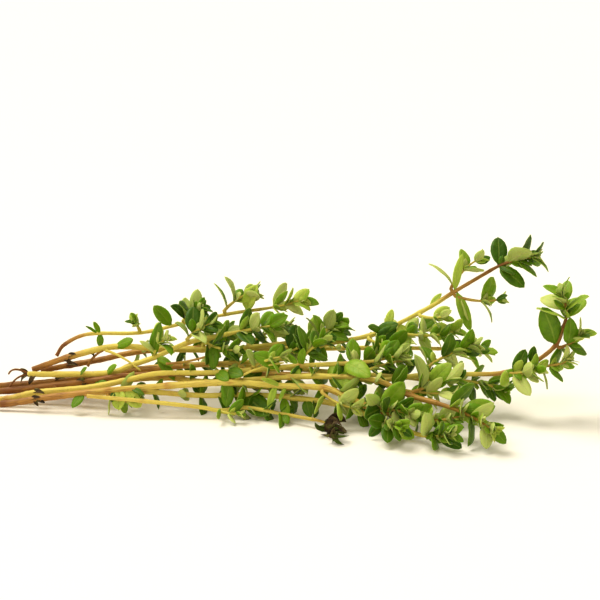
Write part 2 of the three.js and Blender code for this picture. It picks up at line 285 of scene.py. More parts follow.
# Single leaves that grow straight from a stem: [sprig, place along its route, leaf tip, age, width of its length].
SINGLE_LEAVES = [
    ["sprig_01", 2.05, [-43.5, 9.5, 19.5], 0.5, 0.45],
    ["sprig_04", 1.45, [-57.5, 4.0, 11.6], 0.6, 0.45],
    ["sprig_06", 3.0, [-50.5, 1.5, 6.2], 0.8, 0.5],
    ["sprig_04", 1.95, [-48.5, 3.5, 13.0], 0.5, 0.55],
    ["sprig_08", 2.6, [-60.5, -7.0, 2.6], 0.7, 0.5],
    ["sprig_02", 2.3, [-55.5, 13.0, 24.0], 0.5, 0.35],
    ["sprig_02", 2.3, [-53.8, 13.5, 15.5], 0.6, 0.45],
    ["sprig_02", 2.25, [-58.2, 13.0, 22.6], 0.7, 0.2],
    ["sprig_04", 4.0, [-31.0, 1.0, 13.4], 0.4, 0.35],
    ["sprig_04", 4.0, [-30.0, 1.5, 8.6], 0.45, 0.3],
    ["sprig_09", 5.0, [4.5, -17.0, 1.4], 0.6, 0.5],
    ["sprig_08", 6.0, [-1.5, -13.0, 4.6], 0.2, 0.3],
    ["sprig_08", 6.1, [-3.5, -12.0, 13.5], 0.1, 0.22],
    ["sprig_08", 6.2, [1.5, -13.5, 7.0], 0.3, 0.22],
    ["sprig_08", 5.0, [-14.5, -10.0, 3.8], 0.7, 0.5],
    ["sprig_05", 8.6, [23.5, 7.5, 14.5], 0.8, 0.45],
    ["sprig_05", 9.6, [29.5, 7.5, 24.5], 0.8, 0.45],
    ["sprig_07", 8.6, [19.0, -8.5, 9.0], 0.4, 0.4],
    ["sprig_05", 6.0, [-8.0, 2.5, 16.5], 0.6, 0.55],
    ["sprig_05", 12.1, [60.7, 8.0, 22.3], 0.3, 0.27],
    ["sprig_05", 12.05, [56.7, 11.0, 45.5], 0.05, 0.24],
    ["sprig_05", 10.25, [41.2, 8.0, 16.6], 0.05, 0.5],
    ["sprig_05", 9.2, [37.4, 9.0, 24.9], 0.95, 0.42],
    ["sprig_05", 9.9, [36.1, 14.0, 27.7], 0.0, 0.4],
    ["sprig_05", 11.0, [51.5, 13.0, 33.0], 0.05, 0.35],
    ["sprig_06", 13.85, [77.4, -9.0, 22.6], 0.95, 0.4],
    ["sprig_06", 15.0, [80.1, -14.0, 35.3], 0.7, 0.46],
    ["sprig_06", 13.4, [68.0, -13.0, 13.9], 0.45, 0.45],
    ["sprig_06", 13.9, [72.6, -13.0, 13.0], 0.35, 0.5],
    ["sprig_06", 14.1, [75.1, -13.5, 15.4], 0.15, 0.5],
    ["sprig_02", 4.68, [-36.9, 15.0, 28.7], 0.6, 0.5],
    ["sprig_02", 6.5, [-5.2, 14.5, 35.0], 0.05, 0.5],
    ["sprig_04", 3.9, [-35.6, 2.0, 26.0], 0.7, 0.3],
    ["sprig_07", 8.9, [27.6, -15.6, 16.8], 0.3, 0.46],
    ["sprig_07", 8.6, [22.8, -14.0, 9.9], 0.35, 0.38],
    ["sprig_07", 8.0, [9.2, -5.0, 20.5], 0.5, 0.4],
    ["sprig_07", 7.9, [6.8, -9.0, 11.3], 0.3, 0.5],
    ["sprig_07", 7.6, [-5.1, -6.0, 19.8], 0.5, 0.55],
    ["sprig_07", 6.4, [-9.3, -8.0, 13.6], 0.7, 0.5],
    ["sprig_07", 6.2, [-13.6, -8.0, 11.8], 0.6, 0.5],
    ["sprig_10", 7.0, [4.0, -15.0, 1.8], 0.4, 0.3],
    ["sprig_10", 6.1, [-1.5, -12.5, 1.8], 0.95, 0.5],
    ["sprig_10", 7.4, [11.0, -12.5, 1.8], 0.9, 0.6],
    ["sprig_08", 4.87, [-12.6, -9.0, 5.7], 0.6, 0.5],
    ["sprig_08", 3.2, [-46.5, -8.5, 2.4], 0.0, 0.62],
    ["sprig_08", 3.3, [-39.8, -8.5, 3.2], 0.0, 0.62],
    ["sprig_08", 3.1, [-48.5, -7.5, 4.4], 0.95, 0.35],
    ["sprig_08", 3.4, [-38.8, -8.0, 7.4], 0.9, 0.35],
]

# Leaves low in the bunch, along a stretch of a stem, all given the darkest leaf colour as painted shade deep in
# the bunch: [sprig, first place, last place, pairs].
INNER_LEAVES = [
    ["sprig_12", 2.2, 6.6, 13],
    ["sprig_11", 4.6, 9.4, 11],
    ["sprig_03", 3.0, 6.6, 9],
    ["sprig_05", 4.6, 7.2, 6],
    ["sprig_10", 3.3, 8.8, 14],
    ["sprig_09", 3.6, 4.9, 4],
    ["sprig_08", 7.6, 9.6, 5],
    ["sprig_07", 8.2, 9.8, 4],
]

# Thin bare stemlets: four that cross between the stems, then three short curls by their bare ends:
# [foot, bend, end, radius at the foot, rust].
THIN_STEMLETS = [
    [[-51.9, 10.0, 15.4], [-46.1, 7.0, 14.6], [-40.7, 4.0, 10.7], 0.5, 0.1],
    [[-32.8, 2.0, 13.6], [-19.0, 2.0, 14.4], [-7.2, 3.0, 22.2], 0.42, 0.5],
    [[-12.0, -6.9, 10.9], [-5.5, -6.0, 15.4], [3.2, -6.0, 16.4], 0.42, 0.15],
    [[-58.0, 13.0, 9.5], [-56.4, 12.0, 13.3], [-52.9, 11.0, 15.0], 0.5, 0.8],
    [[-75.6, 8.0, 8.5], [-80.6, 7.5, 11.6], [-81.8, 7.0, 8.6], 0.4, 1.1],
    [[-75.6, 8.0, 8.3], [-79.8, 7.0, 8.6], [-82.2, 6.0, 3.6], 0.36, 1.1],
    [[-67.3, 3.0, 6.0], [-65.3, 1.6, 5.0], [-62.2, 0.6, 5.2], 0.4, 1.1],
]

# Dried scraps of old leaves at the nodes of the bare stems: [sprig, place along its route, scrap tip].
SCRAPS = [
    ["sprig_04", 0.1, [-79.0, 7.5, 7.2]],
    ["sprig_04", 0.05, [-78.5, 8.5, 9.9]],
    ["sprig_04", 0.3, [-75.5, 5.5, 6.4]],
    ["sprig_01", 0.9, [-62.5, 8.5, 12.0]],
    ["sprig_01", 1.0, [-61.5, 9.5, 14.8]],
    ["sprig_03", 0.9, [-62.4, 13.4, 10.6]],
    ["sprig_06", 2.7, [-58.5, 3.5, 5.2]],
    ["sprig_06", 2.7, [-60.0, 4.0, 8.2]],
    ["sprig_08", 1.7, [-71.3, -4.6, 2.4]],
    ["sprig_08", 1.65, [-71.5, -4.0, 5.4]],
    ["sprig_08", 1.75, [-69.6, -4.4, 3.6]],
    ["sprig_07", 2.0, [-71.0, -0.5, 6.0]],
    ["sprig_05", 2.0, [-65.5, 9.0, 7.6]],
    ["sprig_01", 1.5, [-55.5, 10.8, 13.6]],
]


# ---------------------------------------------------------------- small mathematics


def unit(vectors):
    """Vectors at length one."""
    return vectors / np.linalg.norm(vectors, axis=-1, keepdims=True)


def dot(first, second):
    """Dot product along the last axis, kept as a column."""
    return np.sum(first * second, axis=-1, keepdims=True)


def mix(pair, share):
    """Straight line from pair[0] to pair[1]."""
    return pair[0] + (pair[1] - pair[0]) * share


def variation(number):
    """The CAD plan's repeatable value from 0 to 1: the fraction of 43758.5453 times a sine."""
    wave = np.sin(np.asarray(number, float) * 12.9898) * 43758.5453
    return wave - np.floor(wave)


def route_point(route, at):
    """Catmull-Rom curve through the route's points, where `at` counts points: a cubic on each span whose
    slope at a point is half the step between its neighbours, with mirrored points past both ends."""
    points = np.array(route, float)
    points = np.vstack([2 * points[0] - points[1], points, 2 * points[-1] - points[-2]])
    at = np.clip(np.asarray(at, float), 0, len(route) - 1)
    span = np.minimum(at.astype(int), len(route) - 2)
    t = (at - span)[..., None]
    before, start, end, after = (points[span + step] for step in range(4))
    slope_in = (end - before) / 2
    slope_out = (after - start) / 2
    square = 2 * slope_in + slope_out - 3 * (end - start)
    cube = slope_in + slope_out - 2 * (end - start)
    return start + slope_in * t - square * t**2 + cube * t**3


def route_slope(route, at):
    """Direction of the route: the step between two points a ten-thousandth of the route either side."""
    reach = 1e-4 * (len(route) - 1)
    return unit(route_point(route, np.asarray(at) + reach) - route_point(route, np.asarray(at) - reach))


def bow_point(bow, share):
    """Quadratic curve from bow[0] to bow[2], drawn towards bow[1]."""
    t = np.asarray(share, float)[..., None]
    return (1 - t) ** 2 * bow[0] + 2 * t * (1 - t) * bow[1] + t**2 * bow[2]


def bow_slope(bow, share):
    """Direction of the quadratic curve."""
    t = np.asarray(share, float)[..., None]
    return unit((1 - t) * (bow[1] - bow[0]) + t * (bow[2] - bow[1]))


# ---------------------------------------------------------------- the plan, as the CAD solids follow it


def shoot_bow(sprig, at, tip):
    """Foot, bend and tip of a shoot, the slope of its stem, and the way out (None where it ends the stem)."""
    route = sprig["route"]
    centre = route_point(route, at)
    along = route_slope(route, at)
    if at == len(route) - 1:
        foot = centre + along * GAP
        bend = foot + along * np.linalg.norm(tip - foot) / 2
        return np.array([foot, bend, tip]), along, None
    reach = tip - centre
    outward = unit(reach - along * np.dot(reach, along))
    foot = centre + outward * (mix(sprig["radius"], at / (len(route) - 1)) + GAP + SHOOT_RADIUS[0] * 0.8)
    bend = (foot + tip) / 2 + outward * SHOOT_BOW * np.linalg.norm(tip - foot)
    return np.array([foot, bend, tip]), along, outward


def leaf_plan(bow, along, outward, pairs, leaf_length, roll, seed):
    """Where the leaves of a shoot start and how they stand: opposite pairs, each turned a quarter from the
    last, closing up and shortening towards the tip, with one larger leaf below a side shoot."""
    number = np.arange(pairs * 2)
    pair = number // 2
    share = 1 - (1 - (pair + 1) / pairs) ** PAIR_CROWDING
    axis = bow_slope(bow, share)
    first = unit(np.cross(axis, LEAN))
    own = mix(LEAF_LENGTHS, variation(seed + number + 50))
    plan = {
        "foot": bow_point(bow, share) - axis * LEAF_ROOT,
        "axis": axis,
        "first": first,
        "second": np.cross(axis, first),
        "opening": np.radians(mix(OPENING, share) + OPENING_SPREAD * (variation(seed + number) - 0.5)),
        "angle": np.radians(roll + 90.0 * pair + 180.0 * (number % 2)),
        "length": leaf_length * (1 - TIP_SHRINK * share**2) * own,
        "facing": mix(FACING, variation(seed + number + 20)),
        "share": share,
    }
    if outward is None:
        return plan
    collar = {
        "foot": bow_point(bow, np.array([COLLAR_AT])),
        "axis": along[None],
        "first": outward[None],
        "second": np.cross(along, outward)[None],
        "opening": np.radians([COLLAR_OPENING]),
        "angle": np.array([0.0]),
        "length": np.array([leaf_length * mix(COLLAR_LENGTHS, variation(seed + 90))]),
        "facing": np.array([FACING[0]]),
        "share": np.array([0.0]),
    }
    return {key: np.concatenate([plan[key], collar[key]]) for key in plan}


def leaf_stand(plan, turn, cut):
    """Direction, upper side and length of each leaf after a turn about its stemlet and a cut."""
    angle = plan["angle"] + np.radians(turn)
    opening = plan["opening"][:, None]
    outward = plan["first"] * np.cos(angle)[:, None] + plan["second"] * np.sin(angle)[:, None]
    direction = plan["axis"] * np.cos(opening) + outward * np.sin(opening)
    upper = plan["axis"] * np.sin(opening) - outward * np.cos(opening)
    facing = plan["facing"][:, None]
    upper = upper * (1 - facing) + LIGHT * facing
    upper = unit(upper - direction * dot(upper, direction))
    return direction, upper, plan["length"] * cut


def leaf_marks(plan, direction, upper, length):
    """The tip and the two far corners of each CAD leaf."""
    side = np.cross(upper, direction)
    size = length[:, None]
    width = size * LEAF_WIDTH
    far = plan["foot"] + direction * size * 0.75 - upper * size * LEAF_DROOP * 0.375
    far = far + upper * width * LEAF_FOLD * math.sin(math.pi / 3)
    reach = side * width * math.sin(math.pi / 3) / 2
    tip = plan["foot"] + direction * size - upper * size * LEAF_DROOP
    return np.stack([tip, far + reach, far - reach], axis=1)


def cad_corners(node):
    """Corners of a CAD node in the plan's millimetres."""
    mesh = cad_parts[node].data
    flat = np.empty(len(mesh.vertices) * 3)
    mesh.vertices.foreach_get("co", flat)
    corners = np.unique(np.round(flat.reshape(-1, 3) / MM, 3), axis=0)
    return corners + CENTRE


def found_share(marks, corners):
    """For each leaf, how many of its marks are corners of the CAD solid."""
    distance = np.linalg.norm(marks[:, :, None, :] - corners[None, None], axis=-1)
    return (distance.min(axis=-1) < MATCH).sum(axis=-1)


def settled_shoot(sprig, shoot, node, seed):
    """A shoot as the CAD solid has it: the tip shift that the most leaves agree with, and for each leaf the
    turn and cut whose marks are corners of the solid. A leaf with no such turn isn't there."""
    corners = cad_corners(node)
    best = None
    for shift in TIP_SHIFTS:
        tip = np.array(shoot[1], float) + np.array(shift, float)
        bow, along, outward = shoot_bow(sprig, shoot[0], tip)
        plan = leaf_plan(bow, along, outward, shoot[2], shoot[3], shoot[4], seed)
        stands = [leaf_stand(plan, turn, cut) for turn, cut in LEAF_TRIES]
        score = np.array([found_share(leaf_marks(plan, *stand), corners) for stand in stands])
        if best is None or (score.max(axis=0) >= 2).sum() > best[0]:
            best = ((score.max(axis=0) >= 2).sum(), bow, along, outward, plan, stands, score)
    _, bow, along, outward, plan, stands, score = best
    choice = score.argmax(axis=0)
    there = score.max(axis=0) >= 1
    pick = np.arange(len(choice))
    leaves = {
        "foot": plan["foot"][there],
        "direction": np.array([stand[0] for stand in stands])[choice, pick][there],
        "upper": np.array([stand[1] for stand in stands])[choice, pick][there],
        "length": np.array([stand[2] for stand in stands])[choice, pick][there],
        "share": plan["share"][there],
        "axis": plan["axis"][there],
    }
    return bow, along, outward, leaves


# ---------------------------------------------------------------- surfaces


def ring_faces(rings, around):
    """Quads between neighbouring rings of a closed tube, as corner numbers."""
    ring, corner = np.meshgrid(np.arange(rings - 1), np.arange(around), indexing="ij")
    after = (corner + 1) % around
    here, ahead = ring * around, (ring + 1) * around
    quads = [here + corner, ahead + corner, ahead + after, here + after]
    return np.stack(quads, axis=-1).reshape(-1, 4)


def piece_from_grids(name, grids, attributes, uv=None):
    """One mesh object from tubes of rings. Each grid is (rings, around, 3) in plan millimetres, and each tube
    is closed at both ends by one many-sided face. Attributes are one float per point."""
    points, faces, offset = [], [], 0
    for grid in grids:
        rings, around = grid.shape[:2]
        points.append(grid.reshape(-1, 3))
        faces += (ring_faces(rings, around) + offset).tolist()
        faces.append(list(range(offset, offset + around)))
        faces.append(list(range(offset + rings * around - 1, offset + (rings - 1) * around - 1, -1)))
        offset += rings * around
    mesh = bpy.data.meshes.new(name)
    mesh.from_pydata(((np.vstack(points) - CENTRE) * MM).tolist(), [], faces)
    mesh.polygons.foreach_set("use_smooth", np.ones(len(mesh.polygons), bool))
    for key, values in attributes.items():
        layer = mesh.attributes.new(key, "FLOAT", "POINT")
        flat = np.concatenate([value.ravel() for value in values])
        layer.data.foreach_set("value", flat.astype(np.float32))
    if uv is not None:
        corners = np.empty(len(mesh.loops), np.int32)
        mesh.loops.foreach_get("vertex_index", corners)
        flat = np.vstack([value.reshape(-1, 2) for value in uv])[corners]
        mesh.uv_layers.new(name="skin").data.foreach_set("uv", flat.ravel().astype(np.float32))
    solid = bmesh.new()
    solid.from_mesh(mesh)
    bmesh.ops.recalc_face_normals(solid, faces=solid.faces)
    solid.to_mesh(mesh)
    solid.free()
    made = bpy.data.objects.new(name, mesh)
    bpy.context.scene.collection.objects.link(made)
    return made


STEM_AROUND = 14  # points round a stem
STEM_STEP = 0.7  # between the rings of a stem
STEM_SQUARENESS = 0.06  # how far its four ribs stand out, as a share of the radius
JOINT_SWELLING = 0.13  # how far a joint stands out, as a share of the radius
STEMLET_RINGS = 22


def stem_surface(centres, radius, seed, joints=()):
    """A stem carried along its centres: radius times one plus a swelling at each joint, a slight four-sided
    section that turns a quarter at every joint, and a low unevenness made of three sines."""
    slope = unit(np.gradient(centres, axis=0))
    side = unit(np.cross(slope, LEAN))
    rise = np.cross(side, slope)
    run = np.concatenate([[0], np.cumsum(np.linalg.norm(np.diff(centres, axis=0), axis=1))])
    swell = np.zeros(len(run))
    quarter = np.zeros(len(run))
    for joint in joints:
        place = np.interp(joint, np.arange(len(run)), run)
        swell += np.exp(-(((run - place) / 1.0) ** 2))
        quarter += 0.5 * (1 + np.tanh((run - place) / 1.5)) * math.pi / 4
    angle = np.linspace(0, 2 * math.pi, STEM_AROUND, endpoint=False)[None]
    square = 1 + STEM_SQUARENESS * np.cos(4 * (angle - quarter[:, None]))
    uneven = 0.03 * np.sin(run * 1.9 + seed) + 0.02 * np.sin(run * 0.7 + 2 * seed) + 0.02 * np.sin(run * 4.1)
    reach = radius[:, None] * (1 + JOINT_SWELLING * swell[:, None] + uneven[:, None]) * square
    out = side[:, None] * np.cos(angle)[..., None] + rise[:, None] * np.sin(angle)[..., None]
    grid = centres[:, None] + out * reach[..., None]
    uv = np.stack([np.broadcast_to(run[:, None], reach.shape), np.broadcast_to(angle, reach.shape)], axis=-1)
    return grid, uv, np.broadcast_to(np.minimum(swell, 1)[:, None], reach.shape), run


# Where a leaf's surface has its points: along it, across its upper side and back across its lower side.
FULL_LEAF = (
    [0.0, 0.08, 0.17, 0.3, 0.47, 0.64, 0.8, 0.92, 1.0],
    [-1.0, -0.5, 0.0, 0.5, 1.0],
    [1.0, 0.0, -1.0],
)
SMALL_LEAF = ([0.0, 0.15, 0.4, 0.65, 0.87, 1.0], [-1.0, 0.0, 1.0], [1.0, 0.0, -1.0])
HALF_BLADE = 0.16  # half a large leaf's thickness at its middle, before the groove of the midrib


def leaf_outline(along):
    """Half width of a leaf from 0 at the foot to 1 at the tip, for a width of one: a thin stalk, then four
    times b(1 - b) to the power 0.66, a rounded blade that closes to a short point."""
    blade = np.clip((along - 0.07) / 0.93, 0, 1) ** 0.95
    return 0.045 * (1 - blade) + 0.5 * (4 * blade * (1 - blade)) ** 0.66 + 0.004


def leaf_surfaces(leaves, width, seed, curl, form):
    """Leaf blades as closed thin shells. Along the midrib x runs straight, z is droop times length times
    u(1 - 2u), and y sweeps with u squared. Across, the sides rise in a shallow fold and roll back at the
    margin, and the blade twists a little towards its tip. The ring goes over the top and back below."""
    count = len(leaves["length"])
    number = np.arange(count)
    size = leaves["length"][:, None, None]
    stations, over, under = form
    u = np.array(stations)[None, :, None]
    across = np.array(over + under)[None, None, :]
    top = np.array([1.0] * len(over) + [-1.0] * len(under))[None, None, :]
    vary = [(variation(seed + 7 * number + step) - 0.5)[:, None, None] for step in range(6)]
    half = np.reshape(width, (-1, 1, 1)) * size * leaf_outline(u) * (1 + 0.24 * vary[0])
    droop = LEAF_DROOP + 0.24 * vary[1] + curl * (0.4 + 0.8 * vary[1])
    fold = 0.22 + 0.5 * vary[2] + curl
    roll = 0.14 + 0.24 * vary[3]
    lift = fold * np.abs(across) - roll * np.abs(across) ** 4
    ripple = 0.012 * size * np.sin(u * 13 + 5 * vary[4]) * np.abs(across) ** 2
    thick = HALF_BLADE * (1 - 0.6 * across**2) * np.clip(size / 7, 0.5, 1)
    rib = -0.14 * (across == 0) * (1 - 0.7 * u) * np.where(top > 0, 0.5, 1.0)
    x = size * u * np.ones_like(across)
    y = half * across * (1 - 0.12 * curl) + size * 0.12 * vary[5] * u**2
    z = size * droop * u * (1 - 2 * u) + half * lift + ripple + top * thick + rib
    twist = (0.5 * vary[4] + curl * vary[5] * 3) * u
    y, z = y * np.cos(twist) - z * np.sin(twist) * 0.5, z * np.cos(twist) + y * np.sin(twist)
    side = np.cross(leaves["upper"], leaves["direction"])
    grid = leaves["foot"][:, None, None] + x[..., None] * leaves["direction"][:, None, None]
    grid = grid + y[..., None] * side[:, None, None] + z[..., None] * leaves["upper"][:, None, None]
    shape = y.shape
    uv = np.stack([np.broadcast_to(u, shape), np.broadcast_to(across * 0.5 + 0.5, shape)], axis=-1)
    return grid, uv, np.broadcast_to((top + 1) / 2, shape)


def axil_leaves(leaves, seed):
    """The pairs of small leaves that sit in the angle between each leaf and its stemlet."""
    main = leaves["share"] > 0
    count = int(main.sum())
    found = {key: np.repeat(leaves[key][main], 2, axis=0) for key in leaves}
    number = np.arange(count * 2)
    hand = np.where(number % 2 == 0, 1.0, -1.0)[:, None]
    side = np.cross(found["upper"], found["direction"])
    spread = hand * (0.45 + 0.3 * variation(seed + number)[:, None])
    direction = unit(found["direction"] * 0.55 + found["axis"] * 0.8 + side * spread)
    upper = unit(found["upper"] - direction * dot(found["upper"], direction))
    length = found["length"] * (0.32 + 0.3 * variation(seed + 31 + number))
    foot = found["foot"] + found["axis"] * 0.3
    return {"foot": foot, "direction": direction, "upper": upper, "length": length}


def bud_leaves(bow, leaf_length, seed):
    """The youngest leaves of a shoot, two crossed pairs that still stand close together at its tip."""
    number = np.arange(4)
    axis = bow_slope(bow, np.ones(4))
    first = unit(np.cross(axis, LEAN))
    second = np.cross(axis, first)
    angle = (number * math.pi + (number // 2) * math.pi / 2 + variation(seed))[:, None]
    opening = np.where(number < 2, 0.5, 0.3)[:, None]
    outward = first * np.cos(angle) + second * np.sin(angle)
    direction = axis * np.cos(opening) + outward * np.sin(opening)
    upper = axis * np.sin(opening) - outward * np.cos(opening)
    length = leaf_length * np.where(number < 2, 0.42, 0.28)
    return {"foot": np.repeat(bow[2:3], 4, axis=0), "direction": direction, "upper": upper, "length": length}


def no_lower_than_the_surface(grids):
    """Grids with every point kept on or above the surface that the bunch lies on."""
    floor = CENTRE[2] + 0.05
    return [np.concatenate([grid[..., :2], np.maximum(grid[..., 2:], floor)], axis=-1) for grid in grids]


UNDERSIDE_SHARE = 0.27  # of the leaves have their pale lower side's colour on top, as if twisted over


def leaf_piece(name, groups, age, seed, material, curl=0.0, width=0.52, spread=0.8):
    """One mesh of every leaf in the groups, with each leaf's age and side as attributes. Age and width are
    one value for them all or one for each, and spread is how far the ages vary. Leaves whose ages hardly
    vary all keep their dark side on top."""
    twisted_share = UNDERSIDE_SHARE if spread > 0.2 else 0
    grids, uvs, ages, sides = [], [], [], []
    for order, leaves in enumerate(groups):
        form = FULL_LEAF if order == 0 else SMALL_LEAF
        grid, uv, side = leaf_surfaces(leaves, width, seed + 200 * order, curl, form)
        own = age - 0.22 * (order > 0) + spread * (variation(seed + 13 * np.arange(len(grid)) + order) - 0.5)
        own = np.clip(own, 0, 1)[:, None, None] * np.ones(grid.shape[1:3])
        grids += list(grid)
        uvs += list(uv)
        ages += list(own)
        turned = variation(seed + 5 * np.arange(len(grid)) + 3 * order) < twisted_share
        sides += list(np.where(turned[:, None, None], 1 - side, side))
    grids = no_lower_than_the_surface(grids)
    piece = piece_from_grids(name, grids, {"age": ages, "upper": sides}, uvs)
    piece.data.materials.append(material)
    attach(piece, "root")
    return piece


def stemlet_piece(name, start, bow, foot_radius, rust, green, seed, material):
    """A stemlet along its bow from foot to end, thickest at the foot. A shoot's starts inside its stem."""
    share = np.linspace(0, 1, STEMLET_RINGS)
    centres = np.vstack([start[None], bow_point(bow, share)])
    radius = np.concatenate([[foot_radius], mix((foot_radius, SHOOT_RADIUS[1] * 0.85), share**0.7)])
    radius[-1] *= 0.6
    grid, uv, joint, run = stem_surface(centres, radius, seed)
    colour = np.clip(np.interp(run, [0, run[-1]], rust), 0, 1)[:, None] * np.ones(joint.shape)
    leafy = np.full(joint.shape, green)
    grids = no_lower_than_the_surface([grid])
    attributes = {"rust": [colour], "green": [leafy], "joint": [joint], "cut": [np.zeros(joint.shape)]}
    piece = piece_from_grids(name, grids, attributes, [uv])
    piece.data.materials.append(material)
    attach(piece, "root")
    return piece


def stem_piece(sprig, seed, material):
    """A main stem along its route, swollen where shoots and old leaves stood, with a flat cut end."""
    route = sprig["route"]
    last = len(route) - 1
    rough = route_point(route, np.linspace(0, last, 200))
    length = np.linalg.norm(np.diff(rough, axis=0), axis=1).sum()
    at = np.linspace(0, last, int(length / STEM_STEP))
    centres = route_point(route, at)
    radius = mix(sprig["radius"], at / last)
    joints_at = sorted({shoot[0] for shoot in sprig["shoots"]} | set(range(1, last, 3)))
    joints = [joint / last * (len(at) - 1) for joint in joints_at if joint < last]
    grid, uv, joint, run = stem_surface(centres, radius, seed, joints)
    share = run / run[-1]
    # The rust value is the stem's own rust, and at a few stem tips it is raised as painted shade.
    rust = np.interp(share, [0, 0.25, 0.5, 0.75, 1], STEM_RUST_AND_SHADE[sprig["name"]])[:, None] * np.ones(joint.shape)
    green = (0.1 + 0.5 * share**2)[:, None] * np.ones(joint.shape)
    face = [centres[0] + (grid[:1] - centres[0]) * reach for reach in (0.35, 0.8, 1.0)]
    grid = np.concatenate(face + [grid])
    edge = [np.repeat(value[:1], 3, axis=0) for value in (uv, joint, rust, green)]
    uv, joint, rust, green = (np.concatenate(pair) for pair in zip(edge, (uv, joint, rust, green)))
    cut = np.zeros(joint.shape)
    cut[:3] = 1
    grids = no_lower_than_the_surface([grid])
    attributes = {"rust": [rust], "green": [green], "joint": [joint], "cut": [cut]}
    piece = piece_from_grids(f"{sprig['name']}_stem_skin", grids, attributes, [uv])
    piece.data.materials.append(material)
    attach(piece, "root")
    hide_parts(f"{sprig['name']}_stem")
    return piece


# ---------------------------------------------------------------- shader building blocks


def node(tree, kind, inputs=None, **settings):
    """A node with its settings made and its inputs set to values or joined to other nodes' outputs."""
    made = tree.nodes.new(kind)
    for key, value in settings.items():
        setattr(made, key, value)
    for socket, value in (inputs or {}).items():
        if isinstance(value, bpy.types.NodeSocket):
            tree.links.new(value, made.inputs[socket])
        else:
            made.inputs[socket].default_value = value
    return made


def maths(tree, operation, first, second=0.0):
    """The output of one Math node."""
    return node(tree, "ShaderNodeMath", {0: first, 1: second}, operation=operation).outputs[0]


def blend(tree, share, first, second, how="MIX"):
    """The output of one colour Mix node."""
    inputs = {0: share, 6: first, 7: second}
    return node(tree, "ShaderNodeMix", inputs, data_type="RGBA", blend_type=how).outputs[2]


def ramp(tree, value, low, high, start=0.0, end=1.0):
    """A smooth step of a value from low..high to start..end."""
    made = node(tree, "ShaderNodeMapRange", {0: value, 1: low, 2: high, 3: start, 4: end})
    made.interpolation_type = "SMOOTHSTEP"
    return made.outputs[0]


def noise(tree, vector, scale, detail=3.0):
    """The value of one Noise node."""
    return node(tree, "ShaderNodeTexNoise", {"Vector": vector, "Scale": scale, "Detail": detail}).outputs[0]


def attribute(tree, name):
    """The value of one of the piece's own point attributes."""
    return node(tree, "ShaderNodeAttribute", attribute_name=name).outputs["Fac"]


def group(name, inputs, outputs):
    """A shader node group with its two ends, from {name: socket type} for each side."""
    tree = bpy.data.node_groups.new(name, "ShaderNodeTree")
    for key, kind in inputs.items():
        tree.interface.new_socket(key, in_out="INPUT", socket_type=kind)
    for key, kind in outputs.items():
        tree.interface.new_socket(key, in_out="OUTPUT", socket_type=kind)
    return tree, tree.nodes.new("NodeGroupInput"), tree.nodes.new("NodeGroupOutput")


def colour(red, green, blue):
    """An opaque colour."""
    return (red, green, blue, 1.0)


def vein_group():
    """Where the veins of a leaf run: the midrib, and side veins that leave it slanting to the tip."""
    tree, start, end = group(
        "leaf_veins", {"Skin": "NodeSocketVector"}, {"Midrib": "NodeSocketFloat", "Side": "NodeSocketFloat"}
    )
    parts = node(tree, "ShaderNodeSeparateXYZ", {0: start.outputs["Skin"]})
    along = parts.outputs[0]
    doubled = maths(tree, "MULTIPLY", parts.outputs[1], 2.0)
    across = maths(tree, "ABSOLUTE", maths(tree, "SUBTRACT", doubled, 1.0))
    midrib = ramp(tree, across, 0.02, 0.13, 1.0, 0.0)
    slant = maths(tree, "SUBTRACT", along, maths(tree, "MULTIPLY", maths(tree, "POWER", across, 0.8), 0.24))
    wave = maths(tree, "ABSOLUTE", maths(tree, "SINE", maths(tree, "MULTIPLY", slant, 15.5)))
    side = ramp(tree, wave, 0.02, 0.3, 1.0, 0.0)
    fade = ramp(tree, across, 0.55, 0.95, 1.0, 0.0)
    tree.links.new(midrib, end.inputs["Midrib"])
    tree.links.new(maths(tree, "MULTIPLY", side, fade), end.inputs["Side"])
    return tree


